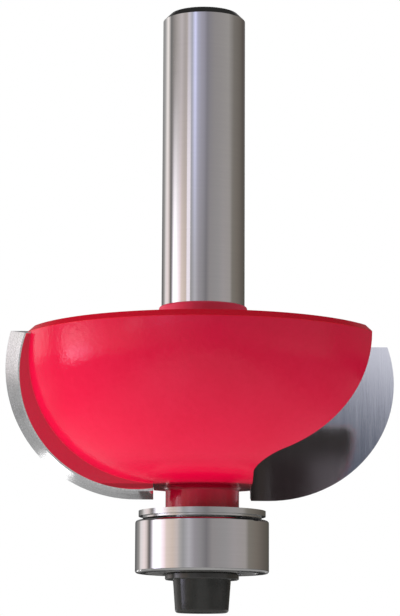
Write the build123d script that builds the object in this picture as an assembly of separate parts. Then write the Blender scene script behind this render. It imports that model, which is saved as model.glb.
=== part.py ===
"""Cove router bit: two brazed carbide teeth, clamped ball-bearing guide, plain shank.

Millimetres. +Z runs up the shank. The origin lies on the axis where the bare shank meets
its painted collar, so the shank stands above it and the cutting head hangs below it.
Tooth 1 lies towards +X with its rake face towards -Y; tooth 2 is half a turn away.
"""

from build123d import *
from math import cos, radians, sin, sqrt, tan
import os

# Shank and collar
shank_diameter = 8.0
shank_length = 28.95
shank_chamfer = 0.68
collar_step = 0.25
collar_height = 2.87
collar_round = 0.22
collar_root_fillet = 0.35

# Cutting edge: the quarter round that a turning tooth sweeps outside the guide bearing
cove_radius = 12.7
cove_centre_drop = 3.0
tooth_top_rise = 2.77

# Head: a bowl turned with one arc that follows the cove inside the cutting edge
head_side_clearance = 1.25
head_end_clearance = 1.2
head_flat_inset = 1.45
head_rim_chamfer = 0.6
neck_diameter = 7.0
neck_fillet = 0.45

# Teeth: each one is a sheared plate, relieved behind its edge
tooth_count = 2
rake_offset = 4.03
shear_angle = 15.3
tooth_depth = 3.0
relief_angle = 24.5
tooth_top_angle = 11.3
carbide_thickness = 2.0
carbide_width = 7.1
land_points = 13
land_run_on_angle = 24.0

# Gullets: the chip space milled in front of each tooth
gullet_floor_clearance = 0.4
gullet_width = 12.9
gullet_wall_angle = 10.8
gullet_corner_radius = 2.8

# Pilot stub that carries the guide bearing
pilot_chamfer = 0.2
pilot_recess = 0.12

# Stepped shield between the neck and the bearing
shield_clearance = 1.05
shield_flange_inset = 0.31
shield_flange_thickness = 0.52
shield_step_width = 0.39
shield_step_thickness = 0.2
shield_boss_diameter = 6.6
shield_boss_height = 0.2

# Guide bearing; its balls take their share of the room between bore and rim
bearing_diameter = 12.7
bearing_bore = 4.762
bearing_width = 4.978
bearing_edge_round = 0.25
bore_edge_round = 0.15
ball_share = 0.5998992
ball_count = 7
ball_play = 0.02
groove_clearance = 0.119
shoulder_share = 0.1889962

# Pressed covers that close the bearing
cover_thickness = 0.2
cover_inset = 0.15
cover_joggle = 0.12
cover_seat_depth = 0.25
cover_gap = 0.12
cover_lip_width = 0.4

# Two-piece riveted ball cage
cage_wall = 0.22
cage_band_width = 0.84
cage_pocket_gap = 0.06
rivet_diameter = 0.4
rivet_head_diameter = 0.64
rivet_head_height = 0.12

# Socket cap screw and washer that clamp the bearing
thread_diameter = 3.0
tap_drill_diameter = 2.5
tap_drill_run_out = 1.5
drill_point_angle = 118.0
screw_length = 8.0
screw_end_chamfer = 0.35
thread_hole_clearance = 0.5
head_diameter = 5.5
head_end_diameter = 5.04
head_height = 3.1
head_end_round = 0.3
socket_across_flats = 2.5
socket_depth = 1.5
washer_diameter = 7.0
washer_bore = 3.2
washer_thickness = 0.6
washer_edge_chamfer = 0.08

# Radii and heights that follow from the sizes above
shank_radius = shank_diameter / 2
collar_radius = shank_radius + collar_step
neck_radius = neck_diameter / 2
pilot_radius = bearing_bore / 2
ball_diameter = ball_share * (bearing_diameter - bearing_bore) / 2
groove_diameter = ball_diameter + groove_clearance
shoulder_height = shoulder_share * ball_diameter
cove_centre_radius = bearing_diameter / 2
cutting_radius = cove_centre_radius + cove_radius
head_flat_radius = cove_centre_radius - head_flat_inset
head_arc_radius = cutting_radius - head_side_clearance - head_flat_radius
gullet_floor = collar_radius + gullet_floor_clearance
relief_drop = tooth_depth * tan(radians(relief_angle))

head_top = -collar_height
cove_centre_z = head_top - cove_centre_drop
cutting_bottom = cove_centre_z - cove_radius
head_bottom = cutting_bottom + head_end_clearance
neck_end = cutting_bottom - shield_clearance
shield_step_top = neck_end - shield_flange_thickness
shield_boss_top = shield_step_top - shield_step_thickness
bearing_top = shield_boss_top - shield_boss_height
bearing_middle = bearing_top - bearing_width / 2
bearing_bottom = bearing_top - bearing_width
pilot_end = bearing_bottom + pilot_recess
washer_bottom = bearing_bottom - washer_thickness
screw_bottom = washer_bottom - head_height
screw_tip = washer_bottom + screw_length

ball_radius = ball_diameter / 2
pitch_radius = (bearing_diameter + bearing_bore) / 4
inner_shoulder_radius = pitch_radius - ball_radius + shoulder_height
outer_shoulder_radius = pitch_radius + ball_radius - shoulder_height
cover_seat_radius = outer_shoulder_radius + cover_seat_depth
cage_inner_radius = pitch_radius - cage_band_width / 2
cage_outer_radius = pitch_radius + cage_band_width / 2
pocket_radius = ball_radius + cage_pocket_gap

# Cutting room: how far tool shapes reach past the metal that they cut
reach = 2 * cutting_radius


def turned(*pieces):
    """Solid of revolution about Z from a closed outline of (radius, height) pieces."""
    outline = Plane.XZ * Curve(pieces)
    return revolve(make_face(outline.edges()), Axis.Z)


def turned_polygon(points):
    """Solid of revolution about Z from the corners of its (radius, height) outline."""
    return turned(Polyline(*points, close=True))


def tube(outer_radius, inner_radius, low, high):
    """Plain ring about Z between two heights."""
    ring = Circle(outer_radius) - Circle(inner_radius)
    return Pos(0, 0, low) * extrude(ring, high - low)


def around(shape, count):
    """Copies of one shape set evenly about Z."""
    return [Rot(0, 0, 360 * index / count) * shape for index in range(count)]


def one_solid(shape):
    """The single solid of a finished shape, without its wrapping."""
    return shape.solids()[0]


def rake_plane():
    """Face plane of tooth 1: X across, Y up the sheared face, Z out of the face."""
    shear = radians(shear_angle)
    facing = (0, -cos(shear), sin(shear))
    return Plane(origin=(0, rake_offset, cove_centre_z), x_dir=(1, 0, 0), z_dir=facing)


def edge_point(angle):
    """Point of the cutting edge in the rake plane, for an angle on the cove's round.

    The edge lies in the sheared plane, yet every point of it turns on the true round,
    so its distance across is what the plane's offset leaves of the swept radius.
    """
    shear = radians(shear_angle)
    swept_radius = cove_centre_radius + cove_radius * cos(radians(angle))
    up_face = cove_radius * sin(radians(angle)) / cos(shear)
    offset_from_axis = rake_offset + up_face * sin(shear)
    return Vector(sqrt(swept_radius**2 - offset_from_axis**2), up_face)


def land_curve(inset):
    """Tooth outline in the rake plane, set back inwards from the cutting edge."""
    span = 90 + land_run_on_angle
    angles = [-90 + span * index / (land_points - 1) for index in range(land_points)]
    edge = Spline(*[edge_point(angle) for angle in angles])
    if inset == 0:
        return edge
    stations = [index / (land_points - 1) for index in range(land_points)]
    points = []
    for station in stations:
        along = edge % station
        inward = Vector(-along.Y, along.X)
        points.append(edge @ station + inward * inset)
    return Spline(*points)


def tooth_section(inset, behind):
    """Face of the tooth plate parallel to the rake plane, at a depth behind it."""
    land = land_curve(inset)
    low = land @ 0
    high = land @ 1
    inner_low = (gullet_floor, low.Y)
    inner_high = (gullet_floor, high.Y)
    rest = Polyline((high.X, high.Y), inner_high, inner_low, (low.X, low.Y))
    return rake_plane() * Pos(0, 0, -behind) * make_face(land.edges() + rest.edges())


def tooth_plate():
    """Relieved plate of tooth 1, carbide and its steel backing together."""
    front = tooth_section(0, 0)
    back = tooth_section(relief_drop, tooth_depth)
    plate = loft([front, back], ruled=True)
    top_angle = radians(tooth_top_angle)
    top_y = rake_offset + tooth_top_rise * tan(radians(shear_angle))
    top_z = cove_centre_z + tooth_top_rise
    top_plane = Plane(origin=(0, top_y, top_z), z_dir=(0, sin(top_angle), cos(top_angle)))
    return split(plate, bisect_by=top_plane, keep=Keep.BOTTOM)


def carbide_pocket():
    """Seat of tooth 1's carbide: a quarter-round ledge milled into the tooth plate."""
    seat_radius = cove_radius - carbide_width
    corner = (cove_centre_radius, -seat_radius)
    middle_angle = radians(-45)
    middle = (
        cove_centre_radius + seat_radius * cos(middle_angle),
        seat_radius * sin(middle_angle),
    )
    side = (cove_centre_radius + seat_radius, 0)
    ledge = ThreePointArc(corner, middle, side)
    rest = Polyline(
        side,
        (side[0], reach),
        (reach, reach),
        (reach, -reach),
        (gullet_floor, -reach),
        (gullet_floor, -seat_radius),
        corner,
    )
    seat = make_face(ledge.edges() + rest.edges())
    return extrude(rake_plane() * seat, -carbide_thickness)


def gullet():
    """Chip space in front of tooth 1, open at its outer side, its top and its bottom."""
    low = neck_end
    high = 0
    sections = []
    for height in (low, high):
        rise = height - cove_centre_z
        rake_y = rake_offset + rise * tan(radians(shear_angle))
        wall_y = rake_offset - gullet_width + rise * tan(radians(gullet_wall_angle))
        outline = Polyline(
            (gullet_floor, rake_y),
            (gullet_floor, wall_y),
            (reach, wall_y),
            (reach, rake_y),
            close=True,
        )
        sections.append(Pos(0, 0, height) * make_face(outline.edges()))
    space = loft(sections, ruled=True)
    upright = space.edges().filter_by(lambda edge: edge.length > (high - low) / 2)
    upright = upright.filter_by(lambda edge: edge.center().X < reach / 2)
    corner = upright.sort_by(Axis.Y)[0]
    return fillet(corner, gullet_corner_radius)


def turned_blank():
    """Shank, collar, bowl, neck and pilot stub as they leave the lathe."""
    collar_edge = min(collar_round, collar_step)
    root_round = min(neck_fillet, (head_flat_radius - neck_radius) / 2)
    arc_centre_z = head_bottom + head_arc_radius
    rim_z = head_top - head_rim_chamfer
    rim_radius = head_flat_radius + sqrt(head_arc_radius**2 - (rim_z - arc_centre_z) ** 2)
    below_neck = Polyline(
        (0, pilot_end),
        (pilot_radius - pilot_chamfer, pilot_end),
        (pilot_radius, pilot_end + pilot_chamfer),
        (pilot_radius, neck_end),
        (neck_radius, neck_end),
        (neck_radius, head_bottom - root_round),
    )
    neck_root = RadiusArc(
        (neck_radius, head_bottom - root_round),
        (neck_radius + root_round, head_bottom),
        root_round,
    )
    underside = Line((neck_radius + root_round, head_bottom), (head_flat_radius, head_bottom))
    bowl = RadiusArc((head_flat_radius, head_bottom), (rim_radius, rim_z), -head_arc_radius)
    top = Polyline(
        (rim_radius, rim_z),
        (rim_radius - head_rim_chamfer, head_top),
        (collar_radius + collar_root_fillet, head_top),
    )
    collar_root = RadiusArc(
        (collar_radius + collar_root_fillet, head_top),
        (collar_radius, head_top + collar_root_fillet),
        collar_root_fillet,
    )
    collar_side = Line((collar_radius, head_top + collar_root_fillet), (collar_radius, -collar_edge))
    collar_top = RadiusArc((collar_radius, -collar_edge), (collar_radius - collar_edge, 0), -collar_edge)
    shank = Polyline(
        (collar_radius - collar_edge, 0),
        (shank_radius, 0),
        (shank_radius, shank_length - shank_chamfer),
        (shank_radius - shank_chamfer, shank_length),
        (0, shank_length),
        (0, pilot_end),
    )
    return turned(
        below_neck, neck_root, underside, bowl, top, collar_root, collar_side, collar_top, shank
    )


def threaded_hole():
    """Tapped hole for the clamp screw, with the tap drill's run-out and point."""
    thread_radius = thread_diameter / 2
    drill_radius = tap_drill_diameter / 2
    thread_top = screw_tip + thread_hole_clearance
    drill_top = thread_top + tap_drill_run_out
    point_top = drill_top + drill_radius / tan(radians(drill_point_angle / 2))
    return turned_polygon(
        [
            (0, pilot_end - pilot_recess),
            (thread_radius, pilot_end - pilot_recess),
            (thread_radius, thread_top),
            (drill_radius, thread_top),
            (drill_radius, drill_top),
            (0, point_top),
        ]
    )


def make_tool_body():
    """Steel body: the turned blank with its gullets, tooth backings and tapped hole."""
    body = turned_blank()
    for space in around(gullet(), tooth_count):
        body -= space
    for plate in around(tooth_plate(), tooth_count):
        body += plate
    for pocket in around(carbide_pocket(), tooth_count):
        body -= pocket
    return one_solid(body - threaded_hole())


def make_carbide_tip():
    """Carbide of tooth 1: what the relieved plate holds inside the milled pocket."""
    return one_solid(tooth_plate() & carbide_pocket())


def make_dust_shield():
    """Stepped washer that covers the bearing and bears on its inner ring only."""
    flange_radius = bearing_diameter / 2 - shield_flange_inset
    step_radius = flange_radius - shield_step_width
    boss_radius = shield_boss_diameter / 2
    return turned_polygon(
        [
            (pilot_radius, neck_end),
            (flange_radius, neck_end),
            (flange_radius, shield_step_top),
            (step_radius, shield_step_top),
            (step_radius, shield_boss_top),
            (boss_radius, shield_boss_top),
            (boss_radius, bearing_top),
            (pilot_radius, bearing_top),
        ]
    )


def raceway(groove_centre_radius):
    """Ring-shaped cutter that leaves one ball groove."""
    section = Pos(groove_centre_radius, bearing_middle) * Circle(groove_diameter / 2)
    return revolve(Plane.XZ * section, Axis.Z)


def make_inner_ring():
    """Inner race, ground to the pilot stub."""
    ring = tube(inner_shoulder_radius, pilot_radius, bearing_bottom, bearing_top)
    bore_edges = ring.edges().filter_by(GeomType.CIRCLE).group_by(SortBy.RADIUS)[0]
    ring = fillet(bore_edges, bore_edge_round)
    groove_bottom = pitch_radius - ball_radius - ball_play
    return one_solid(ring - raceway(groove_bottom + groove_diameter / 2))


def make_outer_ring():
    """Outer race: its ground outside rolls along the work or the template."""
    ring = tube(bearing_diameter / 2, outer_shoulder_radius, bearing_bottom, bearing_top)
    rim_edges = ring.edges().filter_by(GeomType.CIRCLE).group_by(SortBy.RADIUS)[-1]
    ring = fillet(rim_edges, bearing_edge_round)
    seat_height = cover_inset + cover_thickness
    ring -= tube(cover_seat_radius, inner_shoulder_radius, bearing_top - seat_height, bearing_top)
    ring -= tube(cover_seat_radius, inner_shoulder_radius, bearing_bottom, bearing_bottom + seat_height)
    groove_bottom = pitch_radius + ball_radius + ball_play
    return one_solid(ring - raceway(groove_bottom - groove_diameter / 2))


def make_cover(upper):
    """Thin pressed cover, held in the outer ring and clear of the inner one."""
    bore_radius = inner_shoulder_radius + cover_gap
    lip_radius = cover_seat_radius - cover_seat_depth - cover_lip_width
    face = bearing_width / 2 - cover_inset
    dished = face - cover_joggle
    cover = turned_polygon(
        [
            (bore_radius, dished - cover_thickness),
            (lip_radius, dished - cover_thickness),
            (outer_shoulder_radius, face - cover_thickness),
            (cover_seat_radius, face - cover_thickness),
            (cover_seat_radius, face),
            (outer_shoulder_radius, face),
            (lip_radius, dished),
            (bore_radius, dished),
        ]
    )
    if not upper:
        cover = Rot(180, 0, 0) * cover
    return one_solid(Pos(0, 0, bearing_middle) * cover)


def make_ball():
    """Ball 1, on the pitch circle towards +X."""
    return one_solid(Pos(pitch_radius, 0, bearing_middle) * Sphere(ball_radius))


def rivet_places():
    """Places of the cage's rivets, half-way between neighbouring balls."""
    place = Rot(0, 0, 180 / ball_count) * Pos(pitch_radius, 0, 0)
    return [Rot(0, 0, 360 * index / ball_count) * place for index in range(ball_count)]


def make_cage_half(upper):
    """One pressed half of the ribbon cage, with a half-round pocket over each ball."""
    shell_radius = pocket_radius + cage_wall
    half = tube(cage_outer_radius, cage_inner_radius, 0, cage_wall)
    band = tube(cage_outer_radius, cage_inner_radius, 0, shell_radius)
    for place in around(Pos(pitch_radius, 0, 0), ball_count):
        half += place * Sphere(shell_radius) & band
    for place in around(Pos(pitch_radius, 0, 0), ball_count):
        half -= place * Sphere(pocket_radius)
    for place in rivet_places():
        half -= place * Cylinder(rivet_diameter / 2, 2 * shell_radius)
    if not upper:
        half = Rot(180, 0, 0) * half
    return one_solid(Pos(0, 0, bearing_middle) * half)


def make_cage_rivets():
    """Rivets that hold the two cage halves together, as one group."""
    rivets = []
    for place in rivet_places():
        rivet = Cylinder(rivet_diameter / 2, 2 * cage_wall)
        head = Cylinder(rivet_head_diameter / 2, rivet_head_height)
        head_height = cage_wall + rivet_head_height / 2
        rivet += Pos(0, 0, head_height) * head
        rivet += Pos(0, 0, -head_height) * head
        rivets.append(one_solid(Pos(0, 0, bearing_middle) * place * rivet))
    return Compound(rivets)


def make_clamp_washer():
    """Flat washer between the screw head and the bearing's inner ring."""
    washer = tube(washer_diameter / 2, washer_bore / 2, washer_bottom, bearing_bottom)
    rim_edges = washer.edges().filter_by(GeomType.CIRCLE).group_by(SortBy.RADIUS)[-1]
    return one_solid(chamfer(rim_edges, washer_edge_chamfer))


def make_clamp_screw():
    """Socket cap screw, head down, screwed into the pilot stub."""
    thread_radius = thread_diameter / 2
    screw = turned_polygon(
        [
            (0, screw_bottom),
            (head_end_diameter / 2, screw_bottom),
            (head_diameter / 2, washer_bottom),
            (thread_radius, washer_bottom),
            (thread_radius, screw_tip - screw_end_chamfer),
            (thread_radius - screw_end_chamfer, screw_tip),
            (0, screw_tip),
        ]
    )
    end_edges = screw.edges().filter_by(GeomType.CIRCLE).group_by(Axis.Z)[0]
    screw = fillet(end_edges, head_end_round)
    hexagon = RegularPolygon(socket_across_flats / 2, 6, major_radius=False)
    socket = Pos(0, 0, screw_bottom) * extrude(hexagon, socket_depth)
    drill_radius = socket_across_flats / 2
    drill_point = turned_polygon(
        [
            (0, screw_bottom + socket_depth),
            (drill_radius, screw_bottom + socket_depth),
            (0, screw_bottom + socket_depth + drill_radius / tan(radians(drill_point_angle / 2))),
        ]
    )
    return one_solid(screw - socket - drill_point)


def make_parts():
    """Every piece of the bit by its name."""
    parts = {
        "tool_body": make_tool_body(),
        "dust_shield": one_solid(make_dust_shield()),
        "bearing_inner_ring": make_inner_ring(),
        "bearing_outer_ring": make_outer_ring(),
        "bearing_cover_upper": make_cover(upper=True),
        "bearing_cover_lower": make_cover(upper=False),
        "ball_cage_upper": make_cage_half(upper=True),
        "ball_cage_lower": make_cage_half(upper=False),
        "cage_rivets": make_cage_rivets(),
        "clamp_washer": make_clamp_washer(),
        "clamp_screw": make_clamp_screw(),
    }
    for index, tip in enumerate(around(make_carbide_tip(), tooth_count)):
        parts[f"carbide_tip_{index + 1}"] = tip
    for index, ball in enumerate(around(make_ball(), ball_count)):
        parts[f"bearing_ball_{index + 1}"] = ball
    return parts


os.makedirs("parts", exist_ok=True)
for name, shape in make_parts().items():
    export_step(shape, f"parts/{name}.step")
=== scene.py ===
"""Looks of the cove router bit: its finishes, the camera and the studio light. Metres."""

import bmesh
import bpy
from math import cos, pi, radians, sin, tan
from mathutils import Matrix, Vector

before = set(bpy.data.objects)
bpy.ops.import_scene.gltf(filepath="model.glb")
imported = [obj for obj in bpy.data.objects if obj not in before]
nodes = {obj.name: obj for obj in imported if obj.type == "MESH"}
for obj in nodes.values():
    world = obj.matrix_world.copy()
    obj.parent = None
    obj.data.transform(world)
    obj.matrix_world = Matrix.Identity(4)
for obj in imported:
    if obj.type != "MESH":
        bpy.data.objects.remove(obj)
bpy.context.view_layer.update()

# Places on the bit in millimetres, as its source has them
TO_MILLIMETRES = 1000.0
SHEAR = radians(15.3)
RAKE_OFFSET = 4.03
RELIEF_SLOPE = tan(radians(24.5))
COVE_CENTRE_RADIUS = 6.35
COVE_CENTRE_HEIGHT = -5.87
COVE_RADIUS = 12.7
CARBIDE_SEAT_RADIUS = 5.6
CARBIDE_THICKNESS = 2.0
TOOTH_DEPTH = 3.0
TOOTH_TOP_ANGLE = radians(11.3)
TOOTH_TOP_RISE = 2.77
GULLET_FLOOR = 4.65
BOWL_ARC_RADIUS = 12.9
BOWL_FLAT_RADIUS = 4.9
BOWL_ARC_HEIGHT = -4.47
HEAD_TOP = -2.87
HEAD_RIM_CHAMFER = 0.6
HEAD_RIM_RADIUS = 17.77
HEAD_BOTTOM = -17.37
NECK_END = -19.62
BEARING_TOP = -20.54
SCREW_HOLE_REACH = 1.7
# Radius plus height is the same all over the rim's chamfer
RIM_LEVEL = HEAD_RIM_RADIUS - HEAD_RIM_CHAMFER + HEAD_TOP

# How soft the edge of a finish is, how far from its plane a rake face still counts as one,
# and the share of a band's half width over which it holds in full
SOFT_EDGE = 0.03
FACE_REACH = 0.07
FULL_SHARE = 0.7

# Paint, darker and lighter; darker on the tooth backs; painted shade on the neck and at its root; painted
# light on the foot of the bowl and on the rim; a painted sheen on the collar; and where it lies thick or
# dull
PAINT = ((0.735, 0.0035, 0.044), (0.765, 0.0045, 0.05))
# Darker on the tooth backs, and painted shade on the neck
DARK_BACK_AND_NECK_SHADE_PAINT = (0.55, 0.004, 0.034)
# Painted light: the rim's chamfer a lighter, purer red than the rest
RIM_PAINTED_LIGHT = (0.8, 0.0008, 0.024)
# Painted light: the paint lighter towards the foot of the bowl
BOWL_FOOT_PAINTED_LIGHT = (0.87, 0.0015, 0.05)
# Painted shade in the crease at the root of the neck
NECK_ROOT_PAINTED_SHADE = (0.34, 0.0015, 0.018)
# Painted sheen and light: the collar paler and lighter than the rest
COLLAR_PAINTED_SHEEN = (0.88, 0.038, 0.105)
# How much of that painted shade lies on the neck
NECK_SHADE_SHARE = 0.8
PAINT_ROUGHNESS = (0.1, 0.16)
THICK_PAINT_ROUGHNESS = 0.2
COLLAR_ROUGHNESS = 0.36
PAINT_REFRACTION = 1.44

# Bare metal, darker and lighter
SHANK_STEEL = ((0.595, 0.585, 0.58), (0.615, 0.605, 0.595))
FACE_STEEL = ((0.71, 0.705, 0.7), (0.77, 0.765, 0.765))
LAND = ((0.69, 0.69, 0.7), (0.92, 0.92, 0.925))
RAKE_CARBIDE = ((0.735, 0.75, 0.77), (0.785, 0.8, 0.82))
# Bare milled steel of the gullet walls, darkened far below the other bare steel as painted shade
GULLET_STEEL_SHADED = (0.21, 0.178, 0.176)
# Painted shade darkening the top edge of the bearing's rings
RING_EDGE_SHADE = (0.26, 0.25, 0.25)
BRAZE = (0.52, 0.45, 0.32)
BRAZE_ON_LAND = 0.25
SHANK_ROUGHNESS = (0.04, 0.08)
FACE_ROUGHNESS = (0.14, 0.2)
LAND_ROUGHNESS = (0.2, 0.28)
RAKE_ROUGHNESS = (0.08, 0.11)

# Depth of the relief in metres, how strongly it shows, and how high each pattern stands in it
GROUND_RELIEF = 2e-6
RING_RELIEF = 6e-7
POLISHED_RELIEF = 3e-7
RELIEF_STRENGTH = 0.5
PAINT_PEEL_HEIGHT = 34.0
GRAIN_HEIGHT = 0.35
FACE_MARKS_HEIGHT = 4.0
SHANK_MARKS_HEIGHT = 0.04
RING_MARKS_HEIGHT = 0.25
CARBIDE_GRAIN_HEIGHT = 2.5
CARBIDE_MARKS_HEIGHT = 1.4


# Small words for building node trees

def put(tree, kind, label, settings=None, values=None):
    """One node with its label, settings and unlinked values."""
    node = tree.nodes.new(kind)
    node.label = label
    for name, value in (settings or {}).items():
        setattr(node, name, value)
    for socket, value in (values or {}).items():
        node.inputs[socket].default_value = value
    return node


def join(tree, value, socket):
    """Feeds a socket from another socket, or sets it to a plain number or colour."""
    if isinstance(value, bpy.types.NodeSocket):
        tree.links.new(value, socket)
    elif isinstance(value, tuple):
        socket.default_value = (*value, 1.0)
    else:
        socket.default_value = value


def calc(tree, operation, *values):
    """Result of one Math node."""
    node = put(tree, "ShaderNodeMath", operation.lower(), {"operation": operation})
    for socket, value in zip(node.inputs, values):
        join(tree, value, socket)
    return node.outputs[0]


def chain(tree, operation, values):
    """One Math operation over all values in turn."""
    total = values[0]
    for value in values[1:]:
        total = calc(tree, operation, total, value)
    return total


def both(tree, *masks):
    """Where all masks hold."""
    return chain(tree, "MULTIPLY", masks)


def either(tree, *masks):
    """Where any mask holds."""
    return chain(tree, "MAXIMUM", masks)


def weighed_sum(tree, *parts):
    """Sum of values, each times its own weight."""
    return chain(tree, "ADD", [calc(tree, "MULTIPLY", value, weight) for value, weight in parts])


def distance(tree, one, other):
    """Length of the slope over two lengths at right angles."""
    return calc(tree, "SQRT", weighed_sum(tree, (one, one), (other, other)))


def fade(tree, value, start, end, low=0.0, high=1.0):
    """Smooth change from low to high while the value goes from start to end."""
    node = put(tree, "ShaderNodeMapRange", "fade", {"interpolation_type": "SMOOTHSTEP"})
    for name, given in (
        ("Value", value), ("From Min", start), ("From Max", end), ("To Min", low), ("To Max", high)
    ):
        join(tree, given, node.inputs[name])
    return node.outputs["Result"]


def above(tree, value, level, edge=SOFT_EDGE):
    """1 where a value is over a level, with a soft edge that starts there."""
    return fade(tree, value, level, level + edge)


def below(tree, value, level, edge=SOFT_EDGE):
    """1 where a value is under a level, with a soft edge that starts there."""
    return fade(tree, value, level, level - edge)


def near(tree, value, target, width):
    """1 where a value is within a width of its target, 0 elsewhere, with a soft edge."""
    gap = calc(tree, "ABSOLUTE", calc(tree, "SUBTRACT", value, target))
    return fade(tree, gap, width, width * FULL_SHARE)


def by_tone(tree, tone, ends=(0.0, 1.0), spread=0.2):
    """Number between two ends as a pattern goes from its dark to its light parts."""
    return fade(tree, tone, 0.5 - spread, 0.5 + spread, *ends)


def mix_colour(tree, share, one, other):
    """Colour between one (share 0) and other (share 1)."""
    node = put(tree, "ShaderNodeMix", "mix", {"data_type": "RGBA"})
    join(tree, share, node.inputs["Factor"])
    join(tree, one, node.inputs[6])
    join(tree, other, node.inputs[7])
    return node.outputs[2]


def mix_value(tree, share, one, other):
    """Number between one (share 0) and other (share 1)."""
    node = put(tree, "ShaderNodeMix", "mix", {"data_type": "FLOAT"})
    join(tree, share, node.inputs["Factor"])
    join(tree, one, node.inputs[2])
    join(tree, other, node.inputs[3])
    return node.outputs[0]


def colour_ramp(tree, value, stops):
    """Colours along a value from 0 to 1."""
    node = put(tree, "ShaderNodeValToRGB", "ramp")
    ramp = node.color_ramp
    while len(ramp.elements) < len(stops):
        ramp.elements.new(1.0)
    for element, (position, colour) in zip(ramp.elements, stops):
        element.position = position
        element.color = (*colour, 1.0)
    join(tree, value, node.inputs["Fac"])
    return node.outputs["Color"]


def grey(level):
    """Plain grey of one level."""
    return (level, level, level)


# Effects that more than one finish uses

def new_group(name, inputs, outputs):
    """Empty node group with named number sockets and its two end nodes."""
    tree = bpy.data.node_groups.new(name, "ShaderNodeTree")
    for label, default in inputs:
        kind = "NodeSocketVector" if label == "Place" else "NodeSocketFloat"
        socket = tree.interface.new_socket(label, in_out="INPUT", socket_type=kind)
        if default is not None:
            socket.default_value = default
    for label in outputs:
        tree.interface.new_socket(label, in_out="OUTPUT", socket_type="NodeSocketFloat")
    start = tree.nodes.new("NodeGroupInput")
    end = tree.nodes.new("NodeGroupOutput")
    return tree, start.outputs, end.inputs


def give_out(tree, result, values):
    """Joins a group's named results to its output sockets."""
    for label, value in values.items():
        join(tree, value, result[label])


def noise(tree, label, kind, scale, detail, roughness):
    """Noise node of one kind, 3D or 4D."""
    values = {"Scale": scale, "Detail": detail, "Roughness": roughness}
    return put(tree, "ShaderNodeTexNoise", label, {"noise_dimensions": kind}, values)


def make_bit_place():
    """Millimetres across, along and up the bit, with the distance from its axis and the way round."""
    tree, given, result = new_group(
        "bit place", [("Place", None)], ["Across", "Along", "Up", "Radius", "Round"]
    )
    apart = put(tree, "ShaderNodeSeparateXYZ", "apart")
    join(tree, given["Place"], apart.inputs[0])
    across, along, up = [calc(tree, "MULTIPLY", metres, TO_MILLIMETRES) for metres in apart.outputs]
    radius = distance(tree, across, along)
    turn = calc(tree, "ARCTAN2", along, across)
    give_out(tree, result, {
        "Across": across, "Along": along, "Up": up, "Radius": radius,
        "Round": calc(tree, "MULTIPLY", turn, radius),
    })
    return tree


def make_grinding_marks():
    """Fine parallel scratches: across them the pattern changes fast, along them slowly."""
    tree, given, result = new_group(
        "grinding marks",
        [("Across marks", 0.0), ("Along marks", 0.0), ("Spacing", 0.05), ("Length", 4.0), ("Seed", 0.0)],
        ["Height", "Tone"],
    )
    place = put(tree, "ShaderNodeCombineXYZ", "place")
    join(tree, calc(tree, "DIVIDE", given["Across marks"], given["Spacing"]), place.inputs[0])
    join(tree, calc(tree, "DIVIDE", given["Along marks"], given["Length"]), place.inputs[1])
    join(tree, given["Seed"], place.inputs[2])
    marks = noise(tree, "marks", "3D", scale=1.0, detail=3.0, roughness=0.6)
    join(tree, place.outputs[0], marks.inputs["Vector"])
    wide_place = put(
        tree, "ShaderNodeVectorMath", "wide place", {"operation": "MULTIPLY"}, {1: (0.12, 0.5, 1.0)}
    )
    join(tree, place.outputs[0], wide_place.inputs[0])
    bands = noise(tree, "bands", "3D", scale=1.0, detail=2.0, roughness=0.5)
    join(tree, wide_place.outputs[0], bands.inputs["Vector"])
    tone = weighed_sum(tree, (marks.outputs[0], 0.45), (bands.outputs[0], 0.55))
    give_out(tree, result, {"Height": marks.outputs[0], "Tone": tone})
    return tree


def make_metal_grain():
    """Mottled grain of ground or blasted metal, with the size of its cells in millimetres."""
    tree, given, result = new_group(
        "metal grain", [("Place", None), ("Cell size", 0.3), ("Seed", 0.0)], ["Height", "Tone"]
    )
    scaled = put(tree, "ShaderNodeVectorMath", "in cells", {"operation": "SCALE"})
    join(tree, given["Place"], scaled.inputs[0])
    join(tree, calc(tree, "DIVIDE", TO_MILLIMETRES, given["Cell size"]), scaled.inputs["Scale"])
    fine = noise(tree, "fine grain", "4D", scale=1.0, detail=3.0, roughness=0.65)
    clouds = noise(tree, "clouds", "4D", scale=0.13, detail=2.0, roughness=0.5)
    for pattern in (fine, clouds):
        join(tree, scaled.outputs[0], pattern.inputs["Vector"])
        join(tree, given["Seed"], pattern.inputs["W"])
    tone = weighed_sum(tree, (fine.outputs[0], 0.5), (clouds.outputs[0], 0.5))
    give_out(tree, result, {"Height": fine.outputs[0], "Tone": tone})
    return tree


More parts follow.
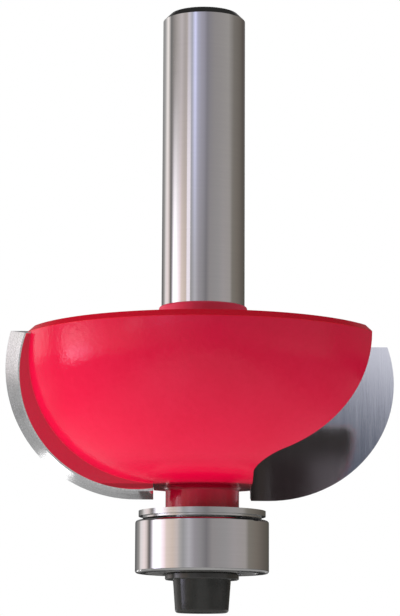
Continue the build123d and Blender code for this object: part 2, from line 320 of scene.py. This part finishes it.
def make_tooth_place():
    """Places on either tooth: depth behind its rake face, distance below the cutting edge, rise.

    Both teeth are folded onto tooth 1. Below edge is how far a point lies inside the swept
    round of the cutting edge, Seat is its distance from the centre of the carbide's seat.
    """
    tree, given, result = new_group(
        "tooth place", [("Across", 0.0), ("Along", 0.0), ("Up", 0.0)],
        ["Out", "Behind rake", "Below edge", "Seat", "Up face", "Above top"],
    )
    side = calc(tree, "SIGN", given["Across"])
    out = calc(tree, "ABSOLUTE", given["Across"])
    back = calc(tree, "SUBTRACT", calc(tree, "MULTIPLY", given["Along"], side), RAKE_OFFSET)
    rise = calc(tree, "SUBTRACT", given["Up"], COVE_CENTRE_HEIGHT)
    behind = weighed_sum(tree, (back, cos(SHEAR)), (rise, -sin(SHEAR)))
    up_face = weighed_sum(tree, (back, sin(SHEAR)), (rise, cos(SHEAR)))
    front_back = calc(tree, "ADD", RAKE_OFFSET, calc(tree, "MULTIPLY", up_face, sin(SHEAR)))
    front_rise = calc(tree, "MULTIPLY", up_face, cos(SHEAR))
    from_round = calc(tree, "SUBTRACT", distance(tree, out, front_back), COVE_CENTRE_RADIUS)
    from_centre = distance(tree, from_round, front_rise)
    back_of_top = calc(tree, "SUBTRACT", back, TOOTH_TOP_RISE * tan(SHEAR))
    over_top = calc(tree, "SUBTRACT", rise, TOOTH_TOP_RISE)
    give_out(tree, result, {
        "Out": out,
        "Behind rake": behind,
        "Below edge": calc(tree, "SUBTRACT", COVE_RADIUS, from_centre),
        "Seat": distance(tree, calc(tree, "SUBTRACT", out, COVE_CENTRE_RADIUS), up_face),
        "Up face": up_face,
        "Above top": weighed_sum(
            tree, (back_of_top, sin(TOOTH_TOP_ANGLE)), (over_top, cos(TOOTH_TOP_ANGLE))
        ),
    })
    return tree


BIT_PLACE = make_bit_place()
GRINDING_MARKS = make_grinding_marks()
METAL_GRAIN = make_metal_grain()
TOOTH_PLACE = make_tooth_place()


# What the finishes share

def use_group(tree, group, values):
    """A group placed in a material with its own values; gives its outputs."""
    node = put(tree, "ShaderNodeGroup", group.name, {"node_tree": group})
    for label, value in values.items():
        join(tree, value, node.inputs[label])
    return node.outputs


def new_finish(name):
    """Empty material: its tree, its Principled shader and the bit's own coordinates."""
    material = bpy.data.materials.new(name)
    material.use_nodes = True
    tree = material.node_tree
    shader = tree.nodes["Principled BSDF"]
    place = put(tree, "ShaderNodeTexCoord", "own place").outputs["Object"]
    return material, tree, shader, place


def bit_and_tooth(tree, place):
    """Where a point lies on the bit, and where on the tooth of its side."""
    bit = use_group(tree, BIT_PLACE, {"Place": place})
    tooth = use_group(tree, TOOTH_PLACE, {label: bit[label] for label in ("Across", "Along", "Up")})
    return bit, tooth


def grain_at(tree, place, cell_size, seed):
    """Metal grain with cells of a size in millimetres."""
    return use_group(tree, METAL_GRAIN, {"Place": place, "Cell size": cell_size, "Seed": seed})


def upright_marks(tree, bit, tooth, spacing, seed):
    """Grinding marks that run up the face of a tooth."""
    return use_group(tree, GRINDING_MARKS, {
        "Across marks": bit["Across"], "Along marks": tooth["Up face"],
        "Spacing": spacing, "Length": 6.0, "Seed": seed,
    })


def marks_round(tree, bit, across, spacing, length):
    """Turning marks that run round the axis."""
    return use_group(tree, GRINDING_MARKS, {
        "Across marks": across, "Along marks": bit["Round"], "Spacing": spacing, "Length": length,
    })


def tone_colour(tree, tone, colours, spread=0.2):
    """From the darker to the lighter of two colours as a pattern does."""
    return mix_colour(tree, by_tone(tree, tone, spread=spread), *colours)


def speckled_land(tree, grain):
    """Colour of the ground land behind a cutting edge."""
    return tone_colour(tree, grain["Height"], LAND, spread=0.12)


def braze_line(tree, tooth):
    """Thin line of braze where the carbide meets its seat: clear on the rake face, faint on the land."""
    on_rake = both(
        tree, near(tree, tooth["Behind rake"], 0.0, width=0.05),
        near(tree, tooth["Seat"], CARBIDE_SEAT_RADIUS, width=0.05),
        below(tree, tooth["Up face"], 0.02, edge=0.04),
    )
    on_land = both(
        tree, near(tree, tooth["Behind rake"], CARBIDE_THICKNESS, width=0.03), BRAZE_ON_LAND,
        below(tree, tooth["Below edge"], 3.0, edge=0.2),
    )
    return either(tree, on_rake, on_land)


def set_relief(tree, shader, height, depth):
    """Fine relief on a finish, with its depth in metres."""
    node = put(
        tree, "ShaderNodeBump", "relief", None, {"Strength": RELIEF_STRENGTH, "Distance": depth}
    )
    join(tree, height, node.inputs["Height"])
    tree.links.new(node.outputs[0], shader.inputs["Normal"])


# The tool body: where it is bare, how its paint lies, and its whole finish

def from_bowl_centre(tree, bit):
    """Distance from the centre of the arc that the bowl is turned to."""
    out = calc(tree, "MAXIMUM", calc(tree, "SUBTRACT", bit["Radius"], BOWL_FLAT_RADIUS), 0.0)
    rise = calc(tree, "SUBTRACT", bit["Up"], BOWL_ARC_HEIGHT)
    return distance(tree, out, rise)


def turned_faces(tree, bit):
    """The bare round surfaces: shank, pilot and screw hole."""
    shank = above(tree, bit["Up"], -0.015, edge=0.015)
    pilot = below(tree, bit["Up"], NECK_END + 0.01, edge=0.02)
    hole = below(tree, bit["Radius"], SCREW_HOLE_REACH, edge=0.1)
    return either(tree, shank, pilot, hole)


def tooth_land(tree, tooth):
    """The ground land that falls away behind the cutting edge."""
    fall = calc(tree, "MULTIPLY", tooth["Behind rake"], RELIEF_SLOPE)
    return both(
        tree, near(tree, calc(tree, "SUBTRACT", fall, tooth["Below edge"]), 0.0, width=0.14),
        above(tree, tooth["Behind rake"], -0.1, edge=0.05),
        below(tree, tooth["Behind rake"], TOOTH_DEPTH + 0.1, edge=0.05),
    )


def tooth_top(tree, tooth):
    """The ground top face of a tooth."""
    return both(
        tree, near(tree, tooth["Above top"], 0.0, width=0.05),
        above(tree, tooth["Behind rake"], -0.1, edge=0.05),
    )


def gullet_wall(tree, bit, tooth, from_bowl, out_and_up):
    """The milled wall of the gullets, inside the bowl and the rim."""
    return both(
        tree, below(tree, from_bowl, BOWL_ARC_RADIUS - 0.05),
        above(tree, bit["Up"], HEAD_BOTTOM + 0.02), below(tree, bit["Up"], HEAD_TOP - 0.02),
        above(tree, tooth["Out"], GULLET_FLOOR - 0.12, edge=0.04),
        below(tree, out_and_up, RIM_LEVEL - 0.06),
    )


def paint_areas(tree, up, out_and_up, tooth_back):
    """Foot of the bowl, darker tooth backs with painted shade on the neck, rim, painted shade at the root
    of the neck, and collar, in the order they cover.
    """
    # The foot of the bowl: painted light, and rougher paint
    bowl_foot = both(
        tree, below(tree, up, HEAD_BOTTOM + 1.6, edge=1.0), above(tree, up, HEAD_BOTTOM + 0.02, edge=0.08)
    )
    neck = below(tree, up, HEAD_BOTTOM - 0.05, edge=0.35)
    # Darker on the tooth backs, and painted shade on the neck
    dark_back_and_neck_shade = either(tree, tooth_back, calc(tree, "MULTIPLY", neck, NECK_SHADE_SHARE))
    # The rim's chamfer: painted light, and rougher paint
    rim = both(tree, above(tree, out_and_up, RIM_LEVEL - 0.09), below(tree, up, HEAD_TOP + 0.05))
    # Painted shade in the crease where the neck meets the bowl
    neck_root_shade = both(
        tree, below(tree, up, HEAD_BOTTOM + 0.06, edge=0.06),
        above(tree, up, HEAD_BOTTOM - 0.45, edge=0.15),
    )
    # The collar: painted sheen, and rougher paint
    collar = above(tree, up, HEAD_TOP + 0.1, edge=0.4)
    return bowl_foot, dark_back_and_neck_shade, rim, neck_root_shade, collar


def make_painted_steel():
    """Gloss red paint on turned steel, ground bare on the shank and on the faces of the teeth."""
    material, tree, shader, place = new_finish("painted_steel")
    bit, tooth = bit_and_tooth(tree, place)
    out_and_up = calc(tree, "ADD", bit["Radius"], bit["Up"])
    from_bowl = from_bowl_centre(tree, bit)
    outside_bowl = above(tree, from_bowl, BOWL_ARC_RADIUS + 0.03)
    outside_hub = above(tree, tooth["Out"], GULLET_FLOOR - 0.06, edge=0.06)

    round_steel = turned_faces(tree, bit)
    rake = both(tree, near(tree, tooth["Behind rake"], 0.0, FACE_REACH), outside_hub)
    land = both(tree, tooth_land(tree, tooth), outside_hub, outside_bowl)
    top = both(tree, tooth_top(tree, tooth), outside_bowl)
    gullet = gullet_wall(tree, bit, tooth, from_bowl, out_and_up)
    bare = either(tree, round_steel, rake, land, top, gullet)
    tooth_back = both(tree, near(tree, tooth["Behind rake"], TOOTH_DEPTH, width=0.08), outside_bowl)
    bowl_foot, dark_back_and_neck_shade, rim, neck_root_shade, collar = paint_areas(tree, bit["Up"], out_and_up, tooth_back)

    round_marks = marks_round(tree, bit, bit["Up"], spacing=0.03, length=3.0)
    face_marks = upright_marks(tree, bit, tooth, spacing=0.07, seed=4.0)
    grain = grain_at(tree, place, cell_size=0.14, seed=1.0)
    peel = grain_at(tree, place, cell_size=0.55, seed=6.0)

    face_colour = tone_colour(tree, face_marks["Tone"], FACE_STEEL)
    face_colour = mix_colour(tree, land, face_colour, speckled_land(tree, grain))
    # Gullet walls: bare steel, darkened as painted shade
    face_colour = mix_colour(tree, gullet, face_colour, GULLET_STEEL_SHADED)
    round_colour = tone_colour(tree, round_marks["Tone"], SHANK_STEEL)
    steel_colour = mix_colour(tree, round_steel, face_colour, round_colour)
    steel_colour = mix_colour(tree, braze_line(tree, tooth), steel_colour, BRAZE)
    paint_colour = tone_colour(tree, peel["Tone"], PAINT, spread=0.15)
    # Darker tooth backs, and the painted light, shade and sheen of the paint's areas
    for area, colour in (
        (bowl_foot, BOWL_FOOT_PAINTED_LIGHT), (dark_back_and_neck_shade, DARK_BACK_AND_NECK_SHADE_PAINT), (rim, RIM_PAINTED_LIGHT),
        (neck_root_shade, NECK_ROOT_PAINTED_SHADE), (collar, COLLAR_PAINTED_SHEEN),
    ):
        paint_colour = mix_colour(tree, area, paint_colour, colour)
    join(tree, mix_colour(tree, bare, paint_colour, steel_colour), shader.inputs["Base Color"])
    join(tree, bare, shader.inputs["Metallic"])

    steel_rough = mix_value(
        tree, round_steel, by_tone(tree, face_marks["Tone"], FACE_ROUGHNESS),
        by_tone(tree, grain["Tone"], SHANK_ROUGHNESS),
    )
    paint_rough = by_tone(tree, peel["Tone"], PAINT_ROUGHNESS)
    paint_rough = mix_value(tree, either(tree, rim, bowl_foot), paint_rough, THICK_PAINT_ROUGHNESS)
    paint_rough = mix_value(tree, collar, paint_rough, COLLAR_ROUGHNESS)
    join(tree, mix_value(tree, bare, paint_rough, steel_rough), shader.inputs["Roughness"])

    marks_height = mix_value(
        tree, round_steel, calc(tree, "MULTIPLY", face_marks["Height"], FACE_MARKS_HEIGHT),
        calc(tree, "MULTIPLY", round_marks["Height"], SHANK_MARKS_HEIGHT),
    )
    grain_height = calc(tree, "MULTIPLY", grain["Height"], GRAIN_HEIGHT)
    steel_height = calc(tree, "ADD", marks_height, grain_height)
    paint_height = calc(tree, "MULTIPLY", peel["Height"], PAINT_PEEL_HEIGHT)
    set_relief(tree, shader, mix_value(tree, bare, paint_height, steel_height), GROUND_RELIEF)
    shader.inputs["IOR"].default_value = PAINT_REFRACTION
    return material


# The other finishes

def make_ground_carbide():
    """Carbide ground with fine vertical marks on the rake face, finer and mottled on the land."""
    material, tree, shader, place = new_finish("ground_carbide")
    bit, tooth = bit_and_tooth(tree, place)
    rake = near(tree, tooth["Behind rake"], 0.0, FACE_REACH)
    marks = upright_marks(tree, bit, tooth, spacing=0.06, seed=9.0)
    grain = grain_at(tree, place, cell_size=0.16, seed=3.0)
    rake_colour = tone_colour(tree, marks["Tone"], RAKE_CARBIDE, spread=0.15)
    colour = mix_colour(tree, rake, speckled_land(tree, grain), rake_colour)
    colour = mix_colour(tree, braze_line(tree, tooth), colour, BRAZE)
    join(tree, colour, shader.inputs["Base Color"])
    tone = mix_value(tree, rake, grain["Tone"], marks["Tone"])
    rough = mix_value(
        tree, rake, by_tone(tree, tone, LAND_ROUGHNESS), by_tone(tree, tone, RAKE_ROUGHNESS)
    )
    join(tree, rough, shader.inputs["Roughness"])
    height = mix_value(
        tree, rake, calc(tree, "MULTIPLY", grain["Height"], CARBIDE_GRAIN_HEIGHT),
        calc(tree, "MULTIPLY", marks["Height"], CARBIDE_MARKS_HEIGHT),
    )
    set_relief(tree, shader, height, GROUND_RELIEF)
    shader.inputs["Metallic"].default_value = 1.0
    return material


def make_round_metal(name, colours, rough, spacing, relief, shaded_edge_height=None):
    """Metal turned or ground round the axis: circular marks over a fine grain, and painted shade
    darkening one edge where given.
    """
    material, tree, shader, place = new_finish(name)
    bit = use_group(tree, BIT_PLACE, {"Place": place})
    across = calc(tree, "ADD", bit["Up"], bit["Radius"])
    marks = marks_round(tree, bit, across, spacing, length=5.0)
    grain = grain_at(tree, place, cell_size=0.2, seed=2.0)
    colour = tone_colour(tree, marks["Tone"], colours)
    # Painted shade along one edge
    if shaded_edge_height is not None:
        edge_shade = near(tree, bit["Up"], shaded_edge_height, width=0.24)
        colour = mix_colour(tree, edge_shade, colour, RING_EDGE_SHADE)
    join(tree, colour, shader.inputs["Base Color"])
    join(tree, by_tone(tree, grain["Tone"], rough), shader.inputs["Roughness"])
    height = weighed_sum(tree, (marks["Height"], RING_MARKS_HEIGHT), (grain["Height"], GRAIN_HEIGHT))
    set_relief(tree, shader, height, relief)
    shader.inputs["Metallic"].default_value = 1.0
    return material


def make_grained_metal(name, colours, rough, cell_size, relief):
    """Pressed, polished or blackened metal: a mottled grain without a direction."""
    material, tree, shader, place = new_finish(name)
    grain = grain_at(tree, place, cell_size, seed=5.0)
    join(tree, tone_colour(tree, grain["Tone"], colours, spread=0.15), shader.inputs["Base Color"])
    join(tree, by_tone(tree, grain["Tone"], rough), shader.inputs["Roughness"])
    set_relief(tree, shader, grain["Height"], relief)
    shader.inputs["Metallic"].default_value = 1.0
    return material


painted_steel = make_painted_steel()
ground_carbide = make_ground_carbide()
turned_steel = make_round_metal(
    "turned_steel", colours=((0.53, 0.53, 0.52), (0.62, 0.62, 0.61)), rough=(0.12, 0.2),
    spacing=0.04, relief=GROUND_RELIEF,
)
ground_ring = make_round_metal(
    "ground_ring", colours=((0.6, 0.59, 0.585), (0.62, 0.61, 0.605)), rough=(0.03, 0.06),
    spacing=0.02, relief=RING_RELIEF, shaded_edge_height=BEARING_TOP,
)
polished_steel = make_grained_metal(
    "polished_steel", colours=((0.6, 0.59, 0.58), (0.64, 0.63, 0.62)), rough=(0.05, 0.08),
    cell_size=0.3, relief=POLISHED_RELIEF,
)
pressed_steel = make_grained_metal(
    "pressed_steel", colours=((0.46, 0.46, 0.45), (0.54, 0.54, 0.53)), rough=(0.26, 0.38),
    cell_size=0.25, relief=GROUND_RELIEF,
)
black_oxide = make_grained_metal(
    "black_oxide", colours=((0.018, 0.018, 0.016), (0.026, 0.0255, 0.023)), rough=(0.1, 0.17),
    cell_size=0.18, relief=GROUND_RELIEF,
)
# The black layer itself is no metal, and it has its own gloss
black_layer = black_oxide.node_tree.nodes["Principled BSDF"]
black_layer.inputs["Metallic"].default_value = 0.0
black_layer.inputs["Specular IOR Level"].default_value = 0.62

# Each node's finish by the start of its name; the covers, the cage and the rivets are pressed steel
FINISHES = {
    "tool_body": painted_steel,
    "carbide_tip": ground_carbide,
    "dust_shield": turned_steel,
    "bearing_outer_ring": ground_ring,
    "bearing_inner_ring": ground_ring,
    "bearing_ball": polished_steel,
    "clamp": black_oxide,
}


def dress_all():
    """Gives every CAD node its finish."""
    for node_name in nodes:
        finish = pressed_steel
        for start_of_name, fitting in FINISHES.items():
            if node_name.startswith(start_of_name):
                finish = fitting
        materials = nodes[node_name].data.materials
        materials.clear()
        materials.append(finish)


# Camera: its place in metres, its lens in millimetres, its turn sideways, upwards and round its view

CAMERA_PLACE = (-0.00169, -0.236, -0.03757)
CAMERA_LENS = 145.08
CAMERA_SENSOR = 36.0
CAMERA_PAN = radians(0.339)
CAMERA_TILT = radians(9.032)
CAMERA_ROLL = radians(0.257)


def make_camera():
    """Camera a little below the cutter, aimed up at it."""
    ahead = Vector((
        sin(CAMERA_PAN) * cos(CAMERA_TILT), cos(CAMERA_PAN) * cos(CAMERA_TILT), sin(CAMERA_TILT)
    ))
    level = Vector((cos(CAMERA_PAN), -sin(CAMERA_PAN), 0.0))
    upright = level.cross(ahead)
    right = level * cos(CAMERA_ROLL) + upright * sin(CAMERA_ROLL)
    top = upright * cos(CAMERA_ROLL) - level * sin(CAMERA_ROLL)
    data = bpy.data.cameras.new("camera")
    data.lens = CAMERA_LENS
    data.sensor_width = CAMERA_SENSOR
    data.clip_start = 0.01
    data.clip_end = 50.0
    camera = bpy.data.objects.new("camera", data)
    turn = Matrix((right, top, -ahead)).transposed().to_4x4()
    camera.matrix_world = Matrix.Translation(CAMERA_PLACE) @ turn
    bpy.context.scene.collection.objects.link(camera)
    bpy.context.scene.camera = camera


# What polished metal sees round the horizon, in degrees from the front towards +X:
# windows, walls and the dark gaps between them
LOW_BANDS = [
    (-180, grey(0.06)), (-165, grey(0.12)), (-152, grey(0.26)), (-139, (0.46, 0.44, 0.43)),
    (-131, (1.1, 1.05, 1.06)), (-118, (1.3, 1.14, 1.15)), (-111, (0.95, 0.84, 0.82)),
    (-105, (0.28, 0.25, 0.24)), (-102, (0.18, 0.17, 0.18)), (-98, (0.6, 0.57, 0.62)),
    (-91, (2.3, 2.2, 2.4)), (-84, (2.4, 2.3, 2.5)), (-78, (1.8, 1.75, 1.85)), (-69, (1.5, 1.25, 1.35)),
    (-64, (1.12, 0.95, 0.88)), (-52, (0.95, 0.8, 0.72)), (-44, (0.86, 0.76, 0.74)),
    (-39, (0.62, 0.6, 0.6)), (-33, (0.48, 0.48, 0.5)), (-23, (0.67, 0.66, 0.71)),
    (-13, (0.46, 0.44, 0.48)), (-3, (0.39, 0.38, 0.4)), (7, (0.28, 0.27, 0.29)), (17, (0.42, 0.4, 0.41)),
    (40, (0.45, 0.44, 0.45)), (56, (0.51, 0.48, 0.49)), (79, (0.5, 0.47, 0.46)), (87, (0.3, 0.28, 0.25)),
    (107, (0.26, 0.23, 0.2)), (130, (0.18, 0.16, 0.14)), (150, (0.13, 0.12, 0.1)), (180, grey(0.06)),
]
# The same a little higher, where the window ends and a cool light starts
HIGH_BANDS = [
    (-180, grey(0.2)), (-140, grey(0.5)), (-122, (1.35, 1.28, 1.26)), (-107, grey(0.24)),
    (-94, (0.42, 0.39, 0.38)), (-80, (0.62, 0.58, 0.57)), (-66, (0.78, 0.72, 0.74)),
    (-56, (0.62, 0.57, 0.57)), (-50, (0.66, 0.6, 0.58)), (-43, (0.92, 0.88, 1.0)),
    (-34, (0.6, 0.62, 0.72)), (-25, (1.1, 1.13, 1.6)), (-18, (0.64, 0.66, 0.86)),
    (-8, (0.54, 0.53, 0.64)), (0, (0.47, 0.46, 0.56)), (9, (0.34, 0.33, 0.38)), (30, (0.42, 0.4, 0.41)),
    (72, (0.48, 0.46, 0.45)), (94, (0.28, 0.26, 0.24)), (122, (0.21, 0.19, 0.17)),
    (143, (0.13, 0.11, 0.1)), (180, grey(0.2)),
]
# The same below the horizon, where the window is at its brightest and the walls are dark
BELOW_BANDS = [
    (-180, grey(0.03)), (-165, grey(0.12)), (-152, grey(0.28)), (-141, grey(0.43)),
    (-132, (0.4, 0.39, 0.39)), (-122, (0.3, 0.29, 0.29)), (-109, (0.28, 0.27, 0.26)),
    (-101, (0.1, 0.09, 0.09)), (-97, (0.25, 0.24, 0.24)), (-92, (3.3, 3.2, 4.1)), (-85, (3.6, 3.5, 4.5)),
    (-80, (2.9, 2.8, 3.9)), (-73, (1.9, 1.7, 2.1)), (-64, (1.12, 0.95, 0.9)), (-52, (0.95, 0.8, 0.72)),
    (-39, grey(0.62)), (-33, grey(0.48)), (-13, grey(0.46)), (7, grey(0.28)), (40, grey(0.45)),
    (56, grey(0.6)), (79, grey(0.5)), (87, grey(0.3)), (100, grey(0.14)), (125, grey(0.04)),
    (150, grey(0.04)), (180, grey(0.03)),
]
# Upright strip light between the window and the walls: where it stands, half its width, colour
STRIP_TURN = -42.5
STRIP_HALF_WIDTH = 6.0
STRIP_COLOUR = (1.36, 1.27, 1.4)
# Over the front, from low to high: a dim wall, a broad ceiling light, the ceiling
CEILING_BANDS = [
    (0.0, grey(0.3)), (0.45, (0.2, 0.2, 0.22)), (0.58, (0.08, 0.09, 0.12)), (0.625, (0.08, 0.09, 0.125)),
    (0.634, (0.1, 0.115, 0.155)), (0.64, (0.3, 0.32, 0.4)), (0.646, (0.65, 0.66, 0.76)),
    (0.652, (0.94, 0.92, 1.02)), (0.74, (0.9, 0.89, 0.95)), (0.8, grey(0.4)), (1.0, grey(0.3)),
]
# How much the ceiling light slants towards +X
CEILING_SLANT = 0.4
# The ceiling behind, and its dark middle straight above
BACK_CEILING = grey(0.16)
ZENITH = grey(0.035)
# How much light matt faces get from straight above
SOFT_SKY = grey(0.75)

# Where one part of the studio fades into the next, as the sine of its height over the horizon
BELOW_HORIZON = (0.03, -0.03)
LOW_TO_HIGH = (0.15, 0.26)
STRIP_FOOT = (0.085, 0.14)
STRIP_END = (0.27, 0.2)
HIGH_TO_CEILING = (0.3, 0.45)
CEILING_TO_ZENITH = (0.4, 0.65)
# The same forwards, where the ceiling behind ends and the one over the front starts
BACK_TO_FRONT = (0.35, 0.55)


def part_of_turn(degrees):
    """Share of a full turn, which starts right behind the bit."""
    return (degrees + 180.0) / 360.0


def horizon(tree, share_round, bands):
    """Colours round the horizon."""
    return colour_ramp(tree, share_round, [(part_of_turn(turn), colour) for turn, colour in bands])


def make_studio():
    """World: white to the camera, a studio to polished faces, soft light to all the rest."""
    world = bpy.data.worlds.new("studio")
    bpy.context.scene.world = world
    world.use_nodes = True
    world.cycles.sampling_method = "NONE"
    tree = world.node_tree
    apart = put(tree, "ShaderNodeSeparateXYZ", "apart")
    join(tree, put(tree, "ShaderNodeTexCoord", "way out").outputs["Generated"], apart.inputs[0])
    across, along, up = apart.outputs
    forwards = calc(tree, "MULTIPLY", along, -1.0)
    turn = calc(tree, "ARCTAN2", across, forwards)
    share_round = calc(tree, "ADD", calc(tree, "DIVIDE", turn, 2 * pi), 0.5)

    low = horizon(tree, share_round, LOW_BANDS)
    low = mix_colour(tree, fade(tree, up, *BELOW_HORIZON), low, horizon(tree, share_round, BELOW_BANDS))
    high = horizon(tree, share_round, HIGH_BANDS)
    studio = mix_colour(tree, fade(tree, up, *LOW_TO_HIGH), low, high)
    strip = both(
        tree, near(tree, share_round, part_of_turn(STRIP_TURN), STRIP_HALF_WIDTH / 360.0),
        fade(tree, up, *STRIP_FOOT), fade(tree, up, *STRIP_END),
    )
    studio = mix_colour(tree, strip, studio, STRIP_COLOUR)
    slanted = weighed_sum(tree, (up, 1.0), (across, CEILING_SLANT))
    over_front = colour_ramp(tree, slanted, CEILING_BANDS)
    over_back = mix_colour(tree, fade(tree, up, *CEILING_TO_ZENITH), BACK_CEILING, ZENITH)
    ceiling = mix_colour(tree, fade(tree, forwards, *BACK_TO_FRONT), over_back, over_front)
    studio = mix_colour(tree, fade(tree, up, *HIGH_TO_CEILING), studio, ceiling)

    soft = mix_colour(tree, calc(tree, "MAXIMUM", up, 0.0), grey(0.0), SOFT_SKY)
    rays = put(tree, "ShaderNodeLightPath", "kind of ray").outputs
    polished = either(tree, rays["Is Glossy Ray"], rays["Is Transmission Ray"])
    seen = mix_colour(tree, polished, soft, studio)
    seen = mix_colour(tree, rays["Is Camera Ray"], seen, grey(1.0))
    join(tree, seen, tree.nodes["Background"].inputs["Color"])


def make_lamp(name, place, target, size, power, mirrored=False):
    """Soft rectangular lamp that lights matt faces; only a mirrored one also shows in the metal."""
    data = bpy.data.lights.new(name, "AREA")
    data.shape = "RECTANGLE"
    data.size, data.size_y = size
    data.energy = power
    lamp = bpy.data.objects.new(name, data)
    lamp.location = place
    lamp.rotation_euler = (Vector(target) - Vector(place)).to_track_quat("-Z", "Y").to_euler()
    lamp.visible_glossy = mirrored
    lamp.visible_camera = False
    bpy.context.scene.collection.objects.link(lamp)


# The table, and the lamps that lie just over it
FLOOR_RADIUS = 0.24
FLOOR_HEIGHT = -0.0405
PANEL_HEIGHT = -0.0395
CARD_HEIGHT = -0.039
FLOOR_GLOW = 0.6
# How bright the table is in polished faces, and how bright where it is darker; the shade is a painted
# shadow of the bit
TABLE_LEVEL = 0.48
BESIDE_LEVEL = 0.24
EDGE_LEVEL = 0.16
SHADE_LEVEL = 0.09
FAR_BEHIND_LEVEL = 0.03
# Where these zones start and end, in metres from the middle, sideways and backwards
BESIDE_SIDEWAYS = (0.03, 0.07)
BESIDE_BACKWARDS = (0.16, 0.0)
EDGE_START = 0.18
# The painted shadow of the bit on the table, a little behind its axis
SHADE_PLACE = 0.024
SHADE_RADIUS = (0.028, 0.013)
FAR_BEHIND_SIDEWAYS = (0.045, 0.022)
FAR_BEHIND_BACKWARDS = (0.05, 0.09)


def table_level(tree, across, along):
    """Brightness of the table in polished faces: less beside the bit, outwards, in a painted shadow
    behind it, and far back.
    """
    sideways = calc(tree, "ABSOLUTE", across)
    beside = both(
        tree, fade(tree, sideways, *BESIDE_SIDEWAYS), fade(tree, along, *BESIDE_BACKWARDS)
    )
    edge = fade(tree, distance(tree, across, along), EDGE_START, FLOOR_RADIUS)
    from_shade = distance(tree, across, calc(tree, "SUBTRACT", along, SHADE_PLACE))
    shade = fade(tree, from_shade, *SHADE_RADIUS)
    far_behind = both(
        tree, fade(tree, sideways, *FAR_BEHIND_SIDEWAYS), fade(tree, along, *FAR_BEHIND_BACKWARDS)
    )
    level = TABLE_LEVEL
    for zone, zone_level in (
        (beside, BESIDE_LEVEL), (edge, EDGE_LEVEL), (shade, SHADE_LEVEL), (far_behind, FAR_BEHIND_LEVEL)
    ):
        level = mix_value(tree, zone, level, zone_level)
    return level


def make_table_white():
    """Matt white that glows a little to the camera, dims in polished faces and is clear from below."""
    material, tree, shader, place = new_finish("floor")
    shader.inputs["Base Color"].default_value = (0.8, 0.8, 0.8, 1.0)
    shader.inputs["Roughness"].default_value = 0.9
    shader.inputs["Specular IOR Level"].default_value = 0.0
    shader.inputs["Emission Color"].default_value = (1.0, 1.0, 1.0, 1.0)
    rays = put(tree, "ShaderNodeLightPath", "kind of ray").outputs
    glow = calc(tree, "MULTIPLY", rays["Is Camera Ray"], FLOOR_GLOW)
    join(tree, glow, shader.inputs["Emission Strength"])
    apart = put(tree, "ShaderNodeSeparateXYZ", "apart")
    join(tree, place, apart.inputs[0])
    table = put(tree, "ShaderNodeEmission", "table as polished faces show it")
    join(tree, table_level(tree, apart.outputs[0], apart.outputs[1]), table.inputs["Strength"])
    polished = either(tree, rays["Is Glossy Ray"], rays["Is Transmission Ray"])
    side = put(tree, "ShaderNodeNewGeometry", "side").outputs["Backfacing"]
    from_below = calc(tree, "MULTIPLY", side, rays["Is Camera Ray"])
    clear = put(tree, "ShaderNodeBsdfTransparent", "clear from below")
    shown = shader
    for share, other, label in ((polished, table, "mirrored"), (from_below, clear, "shown")):
        mixed = put(tree, "ShaderNodeMixShader", label)
        join(tree, share, mixed.inputs[0])
        join(tree, shown.outputs[0], mixed.inputs[1])
        join(tree, other.outputs[0], mixed.inputs[2])
        shown = mixed
    join(tree, shown.outputs[0], tree.nodes["Material Output"].inputs["Surface"])
    return material


def make_floor():
    """Plain pale table under the bit, with the bit's soft shadow on it."""
    mesh = bpy.data.meshes.new("floor")
    shape = bmesh.new()
    bmesh.ops.create_circle(shape, cap_ends=True, segments=96, radius=FLOOR_RADIUS)
    bmesh.ops.translate(shape, verts=shape.verts, vec=(0.0, 0.0, FLOOR_HEIGHT))
    shape.to_mesh(mesh)
    shape.free()
    mesh.materials.append(make_table_white())
    floor = bpy.data.objects.new("floor", mesh)
    bpy.context.scene.collection.objects.link(floor)


dress_all()
make_camera()
make_studio()
make_lamp(
    "left_softbox", place=(-0.6, 0.0, 0.0), target=(0.0, 0.0, -0.01), size=(0.35, 0.35), power=2.77
)
make_lamp(
    "table_panel", place=(0.0, 0.0, PANEL_HEIGHT), target=(0.0, 0.0, 1.0), size=(0.3, 0.3), power=0.182
)
make_lamp(
    "low_left_panel", place=(-0.06, -0.06, PANEL_HEIGHT), target=(-0.06, -0.06, 1.0),
    size=(0.1, 0.12), power=0.022,
)
make_lamp(
    "back_card", place=(-0.0415, 0.069, CARD_HEIGHT), target=(-0.0415, 0.069, 1.0),
    size=(0.018, 0.03), power=0.0044, mirrored=True,
)
make_floor()

bpy.context.scene.view_settings.view_transform = "Standard"
